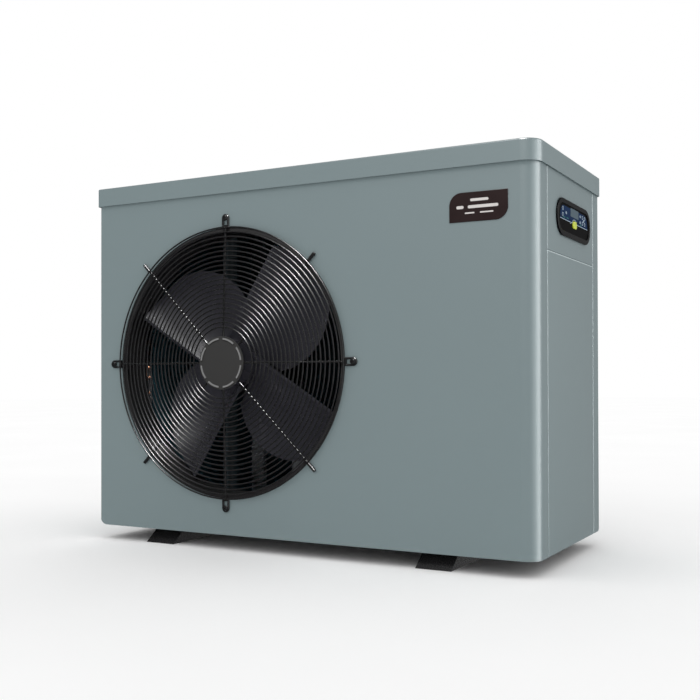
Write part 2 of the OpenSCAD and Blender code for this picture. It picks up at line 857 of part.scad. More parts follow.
module motor_shaft() {
    color(zinc) along_y(fan_x, hub_y - nut_t - 3, fan_z)
        cylinder(r = shaft_r, h = motor_end_y - can_wall - 2 - (hub_y - nut_t - 3));
}

module motor_rotor() {
    length = motor_len - 2 * (can_wall + bearing_w) - 8;
    color(zinc) along_y(fan_x, motor_y + can_wall + bearing_w + 4, fan_z)
        tube(motor_r - can_wall - 16, shaft_r + fit, length);
}

module motor_housing() {
    boss = 4;
    color(near_black) along_y(fan_x, motor_y, fan_z) difference() {
        union() {
            cylinder(r = motor_r, h = motor_len);
            translate([0, 0, -boss]) cylinder(r = bearing_r + 6, h = boss);
        }
        translate([0, 0, can_wall + bearing_w])
            cylinder(r = motor_r - can_wall - 12, h = motor_len - 2 * (can_wall + bearing_w));
        translate([0, 0, can_wall]) cylinder(r = bearing_r + fit, h = motor_len - 2 * can_wall);
        translate([0, 0, -boss - over]) cylinder(r = shaft_r + 1.5, h = boss + can_wall + 2 * over);
    }
}

module motor_bearings() {
    color(zinc)
        for (y = [motor_y + can_wall, motor_end_y - can_wall - bearing_w])
            along_y(fan_x, y, fan_z) tube(bearing_r, shaft_r + fit, bearing_w);
}

module motor_bracket() {
    rail_w = 26;
    rail_d = 12;
    rail_x = 46;
    plate = 2 * rail_x + rail_w;
    y0 = motor_end_y;
    color(zinc) difference() {
        union() {
            for (s = [-1, 1])
                block(fan_x + s * rail_x - rail_w / 2, fan_x + s * rail_x + rail_w / 2, y0 + bracket_plate,
                    y0 + bracket_plate + rail_d, floor_z, seam_z - 6);
            block(fan_x - plate / 2, fan_x + plate / 2, y0, y0 + bracket_plate, fan_z - motor_r,
                fan_z + motor_r);
            for (z = [floor_z, seam_z - 6 - rail_w])
                block(fan_x - rail_x, fan_x + rail_x, y0 + bracket_plate, y0 + bracket_plate + sheet, z,
                    z + rail_w);
        }
        for (a = [45, 135, 225, 315])
            along_y(fan_x + motor_screw_ring * cos(a), y0 - over, fan_z + motor_screw_ring * sin(a))
                cylinder(r = screw_hole_r + 3, h = bracket_plate + rail_d + 2 * over);
    }
}

// Air coil --------------------------------------------------------------------------------------

// L-shaped plan of the coil grown by g on every side
module coil_plan(g) {
    outer = coil_bend_r + g;
    inner = coil_bend_r - coil_t - g;
    cx = coil_x0 + coil_bend_r;
    cy = coil_y1 - coil_bend_r;
    bar(cx, coil_end_x, coil_y0 - g, coil_y1 + g);
    bar(coil_x0 - g, coil_x0 + coil_t + g, leg_front_y, cy);
    translate([cx, cy]) intersection() {
        difference() {
            circle(outer);
            circle(inner);
        }
        translate([-outer - over, 0]) square(outer + over);
    }
}

module evaporator_fins() {
    color([0.16, 0.34, 0.42]) translate([0, 0, coil_z]) linear_extrude(coil_h) coil_plan(0);
}

module coil_end_plates() {
    color(zinc) {
        block(coil_end_x, coil_end_x + plate_t, coil_y0 - 2, coil_y1 + 2, floor_z, coil_z + coil_h);
        block(coil_x0 - 2, coil_x0 + coil_t + 2, leg_front_y - plate_t, leg_front_y, floor_z,
            coil_z + coil_h);
    }
}

module hairpin() {
    rotate([90, 0, 0]) rotate([0, 0, -90]) rotate_extrude(angle = 180)
        translate([bend_r, 0]) circle(coil_tube_r);
}

module coil_return_bends() {
    rows = floor(coil_h / bend_pitch);
    color(copper)
        for (i = [0 : rows - 1]) {
            z = coil_z + bend_pitch * (i + 0.5);
            for (y = [gas_y, line_y])
                translate([coil_end_x + plate_t, y, z]) hairpin();
            for (x = [coil_x0 + tube_row, coil_x0 + coil_t - tube_row])
                translate([x, leg_front_y - plate_t, z]) rotate([0, 0, -90]) hairpin();
        }
}

// Refrigerant circuit ---------------------------------------------------------------------------

module compressor() {
    dome = 20;
    foot_z = floor_z + comp_lift - 4;
    stub = 14;
    color(near_black) difference() {
        union() {
            translate([comp_x, comp_y, foot_z + 8]) cylinder(r = comp_r, h = comp_h - dome - 4);
            translate([comp_x, comp_y, foot_z]) cylinder(r1 = comp_r - 8, r2 = comp_r, h = 8);
            translate([comp_x, comp_y, comp_top_z - dome]) cylinder(r1 = comp_r, r2 = comp_r - 22, h = dome);
            translate([comp_x, comp_y, comp_top_z]) cylinder(r = pipe_r, h = stub);
            translate([0, 0, foot_z]) linear_extrude(4) hull() {
                for (p = compressor_bolt_points())
                    translate(p) circle(16, $fn = smooth);
            }
        }
        for (p = compressor_bolt_points())
            translate([p[0], p[1], foot_z - over]) cylinder(r = 9.5, h = 4 + 2 * over);
    }
}

module compressor_terminal_cover() {
    color([0.15, 0.15, 0.16]) translate([comp_x, comp_y, comp_top_z - 70]) rotate([0, 0, 200])
        difference() {
            translate([comp_r - 14, -22, 0]) cube([34, 44, 50]);
            translate([0, 0, -over]) cylinder(r = comp_r + 0.3, h = 60);
        }
}

module compressor_grommets() {
    waist = 9;
    color([0.1, 0.1, 0.1])
        for (p = compressor_bolt_points())
            translate([p[0], p[1], floor_z]) difference() {
                union() {
                    cylinder(r = 14, h = comp_lift - 4);
                    cylinder(r = waist, h = comp_lift + 8);
                    translate([0, 0, comp_lift]) cylinder(r = 13, h = 8);
                }
                translate([0, 0, -over]) cylinder(r = 3.9, h = comp_lift + 10);
            }
}

module accumulator() {
    neck = 12;
    link_z = acc_z - 22;
    color(near_black) {
        translate([acc_x, acc_y, acc_z]) {
            cylinder(r = acc_r, h = acc_h);
            translate([0, 0, acc_h]) cylinder(r1 = acc_r, r2 = suction_r + 2, h = neck);
            translate([0, 0, acc_h + neck]) cylinder(r = suction_r, h = neck);
            translate([0, 0, -neck]) cylinder(r1 = suction_r + 2, r2 = acc_r, h = neck);
        }
        rod([acc_x, acc_y, acc_z - neck + 2], [acc_x, acc_y, link_z], suction_r);
        translate([acc_x, acc_y, link_z]) sphere(suction_r + 0.8);
        rod([acc_x, acc_y, link_z], [comp_x + comp_r + 0.4, acc_y, link_z], suction_r);
    }
}

// Reversing valve: one port above, three below
module four_way_valve() {
    body_l = 104;
    body_r = 13;
    color([0.75, 0.6, 0.35]) {
        along_x(valve_x - body_l / 2, valve_y, valve_z) cylinder(r = body_r, h = body_l);
        translate([valve_x, valve_y, valve_z]) cylinder(r = pipe_r + 1, h = body_r + valve_stub);
        for (s = [-1, 0, 1])
            translate([valve_x + s * valve_port, valve_y, valve_z - body_r - valve_stub])
                cylinder(r = (s == 0 ? suction_r : pipe_r) + 1, h = valve_stub + body_r);
        translate([valve_x, valve_y - body_r - 16, valve_z - 15]) cube([34, 24, 30]);
    }
}

module expansion_valve() {
    color([0.75, 0.6, 0.35]) {
        translate([eev_x, line_y, eev_z - 26]) cylinder(r = pipe_r + 1, h = 20);
        translate([eev_x, line_y, eev_z - 12]) cylinder(r = 11, h = 34);
        translate([eev_x, line_y, eev_z + 22]) cylinder(r = 17, h = 32);
        along_x(eev_x - 24, line_y, eev_z) cylinder(r = pipe_r + 1, h = 20);
    }
}

valve_low_z = valve_z - 13 - valve_stub;

module discharge_pipe() {
    over_z = valve_z + 13 + valve_stub + 22;
    color(copper) pipe_run([[comp_x, comp_y, comp_top_z + 14], [comp_x, comp_y, over_z],
        [valve_x, valve_y, over_z], [valve_x, valve_y, valve_z + 13 + valve_stub]], pipe_r);
}

module suction_pipe() {
    run_z = valve_low_z - 22;
    color(copper) pipe_run([[valve_x, valve_y, valve_low_z], [valve_x, valve_y, run_z], [acc_x, acc_y, run_z],
        [acc_x, acc_y, acc_z + acc_h + 24]], suction_r);
}

module coil_gas_pipe() {
    x = valve_x - valve_port;
    entry_z = coil_z + 6 * bend_pitch;
    color(copper) pipe_run([[x, valve_y, valve_low_z], [x, valve_y, entry_z], [x, gas_y, entry_z],
        [coil_end_x + plate_t, gas_y, entry_z]], pipe_r);
}

hx_port = 22;

module exchanger_gas_pipe() {
    x = valve_x + valve_port;
    turn_z = valve_low_z - 14;
    rise_x = hx_x - hx_r - 24;
    over_z = hx_top_z + 26;
    color(copper) pipe_run([[x, valve_y, valve_low_z], [x, valve_y, turn_z], [rise_x, valve_y, turn_z],
        [rise_x, valve_y, over_z], [hx_x - hx_port, hx_y, over_z],
        [hx_x - hx_port, hx_y, hx_top_z + 8]], pipe_r);
}

module liquid_pipe() {
    over_z = hx_top_z + 16;
    drop_x = hx_x - hx_r - 24;
    low_z = eev_z - 46;
    drier_z = valve_z - 100;
    color(copper) {
        pipe_run([[hx_x + hx_port, hx_y, hx_top_z + 8], [hx_x + hx_port, hx_y, over_z],
            [hx_x + hx_port, line_y, over_z], [drop_x, line_y, over_z], [drop_x, line_y, low_z],
            [eev_x, line_y, low_z], [eev_x, line_y, eev_z - 26]], pipe_r);
        translate([drop_x, line_y, drier_z]) cylinder(r = 13, h = 80);
        rod([eev_x - 24, line_y, eev_z], [coil_end_x + plate_t, line_y, eev_z], pipe_r);
    }
}

// Water side ------------------------------------------------------------------------------------

module exchanger_shell() {
    stub_r = spigot_r + 6;
    color(pvc_grey) difference() {
        union() {
            translate([hx_x, hx_y, floor_z]) cylinder(r = hx_r, h = hx_h);
            translate([hx_x, hx_y, floor_z]) cylinder(r = hx_r + 6, h = 10);
            translate([hx_x, hx_y, floor_z + hx_h - 24]) cylinder(r = hx_r + 6, h = 24 + hx_cap);
            for (z = [inlet_z, outlet_z])
                along_y(water_x, hx_y, z) cylinder(r = stub_r, h = spigot_start_y - hx_y);
            for (s = [-1, 1])
                translate([hx_x + s * hx_port, hx_y, hx_top_z - over]) cylinder(r = pipe_r + 3, h = 8 + over);
        }
        translate([hx_x, hx_y, floor_z + 6]) cylinder(r = hx_r - hx_wall, h = hx_h - 6);
        for (z = [inlet_z, outlet_z])
            along_y(water_x, hx_y, z) cylinder(r = spigot_bore, h = spigot_start_y - hx_y + over);
    }
}

module titanium_coil() {
    tube_r = 7;
    pitch = 18;
    turns = floor((hx_h - 50) / pitch);
    color([0.6, 0.6, 0.62])
        for (i = [0 : turns - 1])
            translate([hx_x, hx_y, floor_z + 24 + i * pitch]) torus(hx_r - hx_wall - 12, tube_r);
}

// Pipe from the exchanger to the union, ending in the union's threaded collar
module water_pipe(z) {
    collar_y = union_face_y - seal_t - collar_l;
    groove = 3.5;
    along_y(water_x, spigot_start_y, z) difference() {
        union() {
            cylinder(r = spigot_r, h = union_face_y - seal_t - spigot_start_y);
            translate([0, 0, collar_y - spigot_start_y]) cylinder(r = collar_r, h = collar_l);
        }
        translate([0, 0, -over]) cylinder(r = spigot_bore, h = union_end_y - spigot_start_y);
        for (i = [0 : 3])
            translate([0, 0, collar_y - spigot_start_y + 3 + i * 5])
                tube(collar_r + over, collar_r - 1.2, groove - 1);
    }
}

module water_inlet_pipe() {
    color(pvc_grey) water_pipe(inlet_z);
}

switch_y = rear_y - 20;
switch_boss_h = spigot_r + 6;

module water_outlet_pipe() {
    color(pvc_grey) {
        water_pipe(outlet_z);
        difference() {
            translate([water_x, switch_y, outlet_z]) cylinder(r = 11, h = switch_boss_h);
            along_y(water_x, spigot_start_y - over, outlet_z) cylinder(r = spigot_bore + 1, h = 60);
        }
    }
}

module flow_switch() {
    color([0.1, 0.1, 0.1]) {
        translate([water_x, switch_y, outlet_z + switch_boss_h]) cylinder(r = 11, h = 8, $fn = 6);
        translate([water_x - 15, switch_y - 12, outlet_z + switch_boss_h + 8]) cube([30, 24, 34]);
    }
}

// Loose half of a union: a flange that the nut pulls in, and a socket for the pool pipe
module union_socket(z) {
    along_y(water_x, union_face_y, z) difference() {
        union() {
            cylinder(r = collar_r - 0.5, h = flange_l);
            cylinder(r = socket_out_r, h = union_end_y - union_face_y);
            translate([0, 0, union_end_y - union_face_y - 5]) cylinder(r = socket_out_r + 2, h = 5);
        }
        translate([0, 0, -over]) cylinder(r = spigot_bore, h = union_end_y - union_face_y + 2 * over);
        translate([0, 0, union_end_y - union_face_y - socket_l]) cylinder(r = socket_r, h = socket_l + over);
    }
}

module union_sockets() {
    color(pvc_grey)
        for (z = [inlet_z, outlet_z])
            union_socket(z);
}

// Ring nut with grip lugs, free to turn round the socket
module union_nut(z) {
    lip_y = union_face_y + flange_l + 0.3;
    length = lip_y + lip_l - nut_front_y;
    lugs = 12;
    color(near_black) along_y(water_x, nut_front_y, z) difference() {
        union() {
            cylinder(r = nut_r - 4, h = length);
            for (i = [0 : lugs - 1])
                rotate([0, 0, i * 360 / lugs]) translate([nut_r - 6.5, -4, 0]) cube([6.5, 8, length - 4]);
        }
        translate([0, 0, -over]) cylinder(r = collar_r + 0.35, h = lip_y - nut_front_y + over);
        translate([0, 0, -over]) cylinder(r = socket_out_r + nut_gap, h = length + 2 * over);
    }
}

module inlet_union_nut() union_nut(inlet_z);
module outlet_union_nut() union_nut(outlet_z);

module union_seals() {
    color([0.1, 0.1, 0.1])
        for (z = [inlet_z, outlet_z])
            along_y(water_x, union_face_y - seal_t, z) tube(collar_r - 3, spigot_bore + 1, seal_t);
}

// Electrics -------------------------------------------------------------------------------------

module electrical_box() {
    color(zinc) difference() {
        block(box_x0, box_x1, box_y0, box_y1, box_z0, box_z0 + box_h);
        block(box_x0 + sheet, box_x1 - sheet, box_y0 + sheet, box_y1 - sheet, box_z0 + sheet,
            box_z0 + box_h + over);
    }
}

module electrical_box_lid() {
    color(zinc) block(box_x0 - 3, box_x1 + 3, box_y0 - 3, box_y1 + 3, box_z0 + box_h, box_z0 + box_h + sheet);
}

module inverter_board() {
    x0 = box_x0 + 14;
    x1 = box_x1 - 20;
    y0 = box_y0 + 20;
    y1 = y0 + 170;
    top = board_z + board_t;
    color([0.1, 0.35, 0.2]) {
        block(x0, x1, y0, y1, board_z, top);
        for (x = [x0 + 8, x1 - 8], y = [y0 + 8, y1 - 8])
            translate([x, y, box_z0 + sheet]) cylinder(r = 3, h = board_z - box_z0 - sheet);
        for (i = [0 : 3])
            translate([x1 - 30, y0 + 30 + 36 * i, top]) cylinder(r = 15, h = 42);
        block(x0 + 12, x0 + 62, y0 + 30, y0 + 100, top, top + 22);
        block(x0 + 84, x0 + 134, y0 + 24, y0 + 74, top, top + 34);
        block(x0 + 84, x0 + 118, y0 + 100, y0 + 134, top, top + 18);
    }
}

// Finned block on the electrical box that reaches through the partition into the air stream
module heat_sink() {
    base_t = 5;
    fins = 15;
    fin_t = 2;
    step = (sink_l - fin_t) / (fins - 1);
    color(zinc) {
        block(box_x0 - base_t, box_x0, sink_y0, sink_y0 + sink_l, sink_z0, sink_z0 + sink_h);
        for (i = [0 : fins - 1])
            block(box_x0 - sink_reach, box_x0 - base_t + 0.5, sink_y0 + i * step, sink_y0 + i * step + fin_t,
                sink_z0, sink_z0 + sink_h);
    }
}

module terminal_block() {
    ways = 6;
    pitch = 14;
    x0 = box_x0 + 30;
    y0 = box_y1 - 60;
    z0 = box_z0 + sheet;
    color([0.85, 0.85, 0.8]) difference() {
        block(x0, x0 + ways * pitch, y0, y0 + 26, z0, z0 + 24);
        for (i = [0 : ways - 1])
            translate([x0 + (i + 0.5) * pitch, y0 + 13, z0 + 12]) cylinder(r = 4, h = 12 + over);
    }
}

// Controller ------------------------------------------------------------------------------------

bezel_x = side_x + bezel_proud;
face_x = bezel_x - face_recess;
inner_l = bezel_l - 2 * bezel_rim;
inner_h = bezel_h - 2 * bezel_rim;
body_depth = 18;
body_wall = 2;

module bezel_outline(shrink) {
    translate([bezel_y, bezel_z]) round_rect(bezel_l - 2 * shrink, bezel_h - 2 * shrink, bezel_r - shrink);
}

module controller_bezel() {
    color(near_black) difference() {
        union() {
            yz_extrude(side_x, bezel_proud) bezel_outline(0);
            yz_extrude(side_x - body_depth, body_depth + over) bezel_outline(bezel_rim);
        }
        yz_extrude(side_x - body_depth - over, body_depth + bezel_proud + 2 * over)
            bezel_outline(bezel_rim + body_wall);
    }
}

button_y = bezel_y + 1;
button_z = bezel_z - button_drop;
window_z = bezel_z + window_rise;

module controller_face() {
    color([0.05, 0.06, 0.1]) difference() {
        yz_extrude(face_x - face_t, face_t) bezel_outline(bezel_rim + body_wall);
        yz_extrude(face_x - face_t - over, face_t + 2 * over) translate([button_y, button_z])
            stadium(button_l + 2 * button_gap, button_w + 2 * button_gap);
        yz_extrude(face_x - 1, 1 + over) translate([button_y, window_z])
            square([window_l, window_w], center = true);
    }
}

module display_window() {
    color([0.45, 0.5, 0.55]) yz_extrude(face_x - 1, 1) translate([button_y, window_z])
        square([window_l, window_w], center = true);
}

board_gap = 8;
board_x = face_x - face_t - board_gap;
button_collar = 1.6;
collar_slack = 0.4;
switch_h = board_gap - button_collar - collar_slack - button_travel - 0.1;

module controller_board() {
    color([0.1, 0.35, 0.2]) {
        yz_extrude(board_x - board_t, board_t) translate([bezel_y, bezel_z])
            square([inner_l - 2 * body_wall - 26, inner_h - 2 * body_wall - 6], center = true);
        along_x(board_x, button_y, button_z) cylinder(r = 3, h = switch_h);
    }
}

module power_button() {
    back_x = face_x - face_t - button_collar;
    color([0.85, 0.9, 0.35]) {
        yz_extrude(back_x, bezel_x - back_x) translate([button_y, button_z]) stadium(button_l, button_w);
        yz_extrude(back_x - collar_slack, button_collar) translate([button_y, button_z])
            stadium(button_l + 4, button_w + 4);
    }
}

// Rear fittings ---------------------------------------------------------------------------------

module cable_gland() {
    color(near_black) along_y(gland_x, rear_y - sheet - 8, gland_z) difference() {
        union() {
            cylinder(r = gland_r, h = sheet + 12);
            cylinder(r = gland_r + 4, h = 8, $fn = 6);
            translate([0, 0, sheet + 8]) cylinder(r = gland_r + 4, h = 7, $fn = 6);
            translate([0, 0, sheet + 15]) cylinder(r1 = gland_r + 2, r2 = gland_r - 1, h = 16);
        }
        translate([0, 0, -over]) cylinder(r = gland_bore, h = sheet + 31 + 2 * over);
    }
}

drain_reach = 20;
drain_out_r = 9;

module drain_spigot() {
    color(near_black) translate([drain_x, drain_y, base_z - drain_reach]) difference() {
        union() {
            cylinder(r = drain_out_r, h = drain_reach);
            translate([0, 0, drain_reach - 3]) cylinder(r = 15, h = 3);
        }
        translate([0, 0, -over]) cylinder(r = drain_bore, h = drain_reach + 2 * over);
    }
}

base_pan();
front_panel();
top_cover();
right_upper_panel();
right_lower_panel();
rear_panel();
left_panel();
rear_coil_guard();
partition_plate();
foot_left();
foot_right();
pan_screws();
hex_bolts();
guard_rings();
guard_spokes();
guard_disc();
badge_plate();
fan_shroud();
impeller();
impeller_nut();
motor_shaft();
motor_rotor();
motor_housing();
motor_bearings();
motor_bracket();
evaporator_fins();
coil_end_plates();
coil_return_bends();
compressor();
compressor_terminal_cover();
compressor_grommets();
accumulator();
four_way_valve();
expansion_valve();
discharge_pipe();
suction_pipe();
coil_gas_pipe();
exchanger_gas_pipe();
liquid_pipe();
exchanger_shell();
titanium_coil();
water_inlet_pipe();
water_outlet_pipe();
union_sockets();
inlet_union_nut();
outlet_union_nut();
union_seals();
flow_switch();
electrical_box();
electrical_box_lid();
inverter_board();
heat_sink();
terminal_block();
controller_bezel();
controller_face();
display_window();
controller_board();
power_button();
cable_gland();
drain_spigot();
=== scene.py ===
"""Pool and spa heat pump: the looks of a sheet metal casing, fan, guard, controller and works.

Everything is in metres in the part's own frame: +Z up, +X right seen from the fan side and
+Y to the rear.
"""
import json
import logging
import math
from dataclasses import dataclass, field
from enum import Enum
from typing import Sequence

import bmesh
import bpy
from mathutils import Matrix, Vector


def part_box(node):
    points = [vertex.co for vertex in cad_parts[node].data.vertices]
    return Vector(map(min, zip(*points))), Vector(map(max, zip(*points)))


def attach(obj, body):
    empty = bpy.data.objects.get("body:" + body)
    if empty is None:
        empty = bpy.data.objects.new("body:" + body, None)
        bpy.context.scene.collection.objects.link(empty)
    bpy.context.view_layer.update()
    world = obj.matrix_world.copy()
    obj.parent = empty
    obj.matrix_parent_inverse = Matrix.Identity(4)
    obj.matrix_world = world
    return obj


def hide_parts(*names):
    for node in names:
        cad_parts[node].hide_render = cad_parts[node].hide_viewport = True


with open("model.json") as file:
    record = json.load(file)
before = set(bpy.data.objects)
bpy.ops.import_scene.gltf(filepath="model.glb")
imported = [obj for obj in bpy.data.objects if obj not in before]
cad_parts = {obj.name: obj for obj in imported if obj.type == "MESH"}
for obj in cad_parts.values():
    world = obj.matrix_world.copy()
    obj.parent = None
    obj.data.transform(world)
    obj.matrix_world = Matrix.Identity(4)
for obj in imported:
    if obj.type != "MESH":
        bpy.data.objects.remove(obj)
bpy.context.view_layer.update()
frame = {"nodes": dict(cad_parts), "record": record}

LOG = logging.getLogger("heat_pump")
Colour = tuple[float, float, float]
Point = tuple[float, float]
Spot = tuple[float, float, float]
PAINT: Colour = (0.209, 0.268, 0.279)
PEEL_WAVES = 900.0


class Axis(str, Enum):
    """Direction that a painted edge highlight is measured along."""

    DEPTH = "Y"
    HEIGHT = "Z"


# Shader building ------------------------------------------------------------------------------


class Wire:
    """One output socket that takes part in shader maths."""

    def __init__(self, tree: bpy.types.NodeTree, socket: bpy.types.NodeSocket) -> None:
        """Keeps the socket and the tree it belongs to."""
        self.tree = tree
        self.socket = socket

    def _math(self, operation: str, first: "Wire | float", second: "Wire | float") -> "Wire":
        """Adds one Math node.

        Args:
            operation: the Math node's operation.
            first: a wire or a number.
            second: a wire or a number.

        Returns:
            The node's result.
        """
        node = self.tree.nodes.new("ShaderNodeMath")
        node.operation = operation
        for socket, value in zip(node.inputs, (first, second)):
            if isinstance(value, Wire):
                self.tree.links.new(value.socket, socket)
            else:
                socket.default_value = value
        return Wire(self.tree, node.outputs[0])

    def __add__(self, other: "Wire | float") -> "Wire":
        """Sum."""
        return self._math("ADD", self, other)

    __radd__ = __add__

    def __sub__(self, other: "Wire | float") -> "Wire":
        """Difference."""
        return self._math("SUBTRACT", self, other)

    def __rsub__(self, other: float) -> "Wire":
        """Difference with the number first."""
        return self._math("SUBTRACT", other, self)

    def __mul__(self, other: "Wire | float") -> "Wire":
        """Product."""
        return self._math("MULTIPLY", self, other)

    __rmul__ = __mul__

    def above(self, level: float) -> "Wire":
        """One where the value is above the level, zero elsewhere."""
        return self._math("GREATER_THAN", self, level)


class Shader:
    """A new material and the one way that its nodes are added."""

    def __init__(self, name: str) -> None:
        """Makes an empty node material."""
        self.material = bpy.data.materials.new(name)
        self.material.use_nodes = True
        self.tree = self.material.node_tree
        self.tree.nodes.clear()

    def add(self, kind: str, settings: dict[str, object] | None = None,
            inputs: dict[str, object] | None = None, output: str | int = 0) -> Wire:
        """Adds a node.

        Args:
            kind: the node's type, without the ShaderNode in front.
            settings: properties set first; "stops" fills a colour ramp.
            inputs: socket name to a wire or a value.
            output: the output that is returned.

        Returns:
            The chosen output.
        """
        node = self.tree.nodes.new("ShaderNode" + kind)
        for key, value in (settings or {}).items():
            if key == "stops":
                ramp = node.color_ramp
                while len(ramp.elements) < len(value):
                    ramp.elements.new(0.5)
                for stop, (place, colour) in zip(ramp.elements, value):
                    stop.position = place
                    stop.color = (*colour, 1)
            else:
                setattr(node, key, value)
        for key, value in (inputs or {}).items():
            if isinstance(value, Wire):
                self.tree.links.new(value.socket, node.inputs[key])
            else:
                node.inputs[key].default_value = value
        return Wire(self.tree, node.outputs[output])

    def place(self) -> Wire:
        """Position in the part's frame, in metres."""
        return self.add("TexCoord", output="Object")

    def noise(self, scale: float, detail: float = 3.0,
              stretch: Sequence[float] = (1, 1, 1)) -> Wire:
        """Noise over the surface.

        Args:
            scale: waves to the metre.
            detail: octaves.
            stretch: factor along X, Y and Z.

        Returns:
            A value around one half.
        """
        spot = self.add("Mapping", inputs={"Vector": self.place(), "Scale": tuple(stretch)})
        return self.add("TexNoise", inputs={"Vector": spot, "Scale": scale, "Detail": detail},
                        output="Fac")

    def axis(self, name: str) -> Wire:
        """One coordinate of the position: X, Y or Z."""
        return self.add("SeparateXYZ", inputs={"Vector": self.place()}, output=name)

    def bump(self, height: Wire, depth: float, strength: float = 1.0) -> Wire:
        """Normal of a surface with this height, where depth is in metres."""
        return self.add("Bump", inputs={"Height": height, "Distance": depth, "Strength": strength})

    def ramp(self, value: Wire, low: Colour, high: Colour, start: float = 0.3,
             end: float = 0.7) -> Wire:
        """Colour that runs from low to high as the value goes from start to end."""
        return self.add("ValToRGB", {"stops": [(start, low), (end, high)]}, {"Fac": value})

    def surface(self, **inputs: object) -> bpy.types.Material:
        """Ends the material in one shader.

        Args:
            **inputs: Principled sockets, with underscores for spaces.

        Returns:
            The finished material.
        """
        sockets = {key.replace("_", " "): value for key, value in inputs.items()}
        for key in ("Base Color", "Emission Color"):
            if isinstance(sockets.get(key), tuple):
                sockets[key] = (*sockets[key], 1.0)
        shader = self.add("BsdfPrincipled", inputs=sockets)
        end = self.tree.nodes.new("ShaderNodeOutputMaterial")
        self.tree.links.new(shader.socket, end.inputs["Surface"])
        return self.material


# Finishes -------------------------------------------------------------------------------------


@dataclass(frozen=True)
class PowderCoat:
    """Baked powder paint on sheet metal with a fine orange peel."""

    name: str
    colour: Colour
    roughness: float = 0.34
    peel: float = 0.00003
    shade: float = 0.02

    def build(self) -> bpy.types.Material:
        """The paint with faint cloudiness, peel and a dusting of roughness."""
        s = Shader(self.name)
        cloud = s.noise(3.0, 2.0)
        darker = tuple(c * (1 - self.shade) for c in self.colour)
        grain = s.noise(PEEL_WAVES, 2.0)
        return s.surface(Base_Color=s.ramp(cloud, darker, self.colour),
                         Roughness=self.roughness + (grain - 0.5) * 0.06,
                         Normal=s.bump(grain, self.peel))


@dataclass(frozen=True)
class PaintedHighlightCoat:
    """Paint with a painted highlight: pale past a given height or depth, standing in for an edge
    that catches the light.
    """

    name: str
    colour: Colour
    pale: Colour
    edge: float
    axis: Axis = Axis.HEIGHT
    rough: float = 0.34

    def build(self) -> bpy.types.Material:
        """The paint, with the painted highlight pale above the height along Z, or in front of the
        depth along Y.
        """
        s = Shader(self.name)
        grain = s.noise(PEEL_WAVES, 2.0)
        # painted highlight: the colour turns pale past the edge, where a real edge would catch the
        # light
        place = s.axis(self.axis.value) + (grain - 0.5) * 0.0002
        past = place.above(self.edge)
        if self.axis is Axis.DEPTH:
            past = 1.0 - past
        return s.surface(Base_Color=s.ramp(past, self.colour, self.pale, 0.0, 1.0),
                         Roughness=self.rough + (grain - 0.5) * 0.06, Normal=s.bump(grain, 0.00003))


@dataclass(frozen=True)
class Moulded:
    """Moulded plastic with a fine spark-eroded grain."""

    name: str
    colour: Colour
    roughness: float = 0.45
    grain: float = 0.00004
    coat: float = 0.0

    def build(self) -> bpy.types.Material:
        """The plastic with grain and slight unevenness of colour."""
        s = Shader(self.name)
        speck = s.noise(1400.0, 2.0)
        flow = s.noise(12.0, 3.0)
        darker = tuple(c * 0.86 for c in self.colour)
        return s.surface(Base_Color=s.ramp(flow, darker, self.colour),
                         Roughness=self.roughness + (flow - 0.5) * 0.1,
                         Coat_Weight=self.coat,
                         Coat_Roughness=0.08,
                         Normal=s.bump(speck, self.grain))


@dataclass(frozen=True)
class Zinc:
    """Galvanised or plated steel with a broken spangle."""

    name: str
    colour: Colour = (0.55, 0.57, 0.6)
    roughness: float = 0.4

    def build(self) -> bpy.types.Material:
        """Metal whose crystals differ a little in shade and gloss."""
        s = Shader(self.name)
        cells = s.add("TexVoronoi", inputs={"Vector": s.place(), "Scale": 160.0}, output="Color")
        level = s.add("SeparateColor", inputs={"Color": cells}, output=0)
        dim = tuple(c * 0.82 for c in self.colour)
        return s.surface(Base_Color=s.ramp(level, dim, self.colour, 0.0, 1.0), Metallic=1.0,
                         Roughness=self.roughness + (level - 0.5) * 0.12,
                         Normal=s.bump(s.noise(700.0), 0.00001))


@dataclass(frozen=True)
class DrawnMetal:
    """Drawn or turned metal with faint handling marks."""

    name: str
    colour: Colour
    roughness: float = 0.28

    def build(self) -> bpy.types.Material:
        """Metal with darker tarnish in patches."""
        s = Shader(self.name)
        patch = s.noise(28.0, 4.0)
        dull = tuple(c * 0.6 for c in self.colour)
        return s.surface(Base_Color=s.ramp(patch, dull, self.colour, 0.25, 0.6), Metallic=1.0,
                         Roughness=self.roughness + (1 - patch) * 0.18,
                         Normal=s.bump(s.noise(500.0), 0.00001))


@dataclass(frozen=True)
class FinCoat:
    """Aluminium fins with a coloured water shedding coat."""

    name: str
    colour: Colour = (0.045, 0.13, 0.17)

    def build(self) -> bpy.types.Material:
        """Half metallic blue with a lengthwise grain."""
        s = Shader(self.name)
        streak = s.noise(60.0, 3.0, (1.0, 1.0, 0.08))
        dim = tuple(c * 0.7 for c in self.colour)
        return s.surface(Base_Color=s.ramp(streak, dim, self.colour), Metallic=0.6,
                         Roughness=0.36 + streak * 0.12, Normal=s.bump(streak, 0.0001))


@dataclass(frozen=True)
class Board:
    """Lacquered circuit board."""

    name: str
    colour: Colour = (0.02, 0.12, 0.05)

    def build(self) -> bpy.types.Material:
        """Green with lighter tracks."""
        s = Shader(self.name)
        cells = s.add("TexVoronoi", {"distance": "MANHATTAN"}, {"Vector": s.place(), "Scale": 90.0},
                      output="Distance")
        track = cells.above(0.42)
        light = tuple(c * 1.9 for c in self.colour)
        return s.surface(Base_Color=s.ramp(track, self.colour, light), Roughness=0.3 + track * 0.1,
                         Normal=s.bump(track, 0.00005))


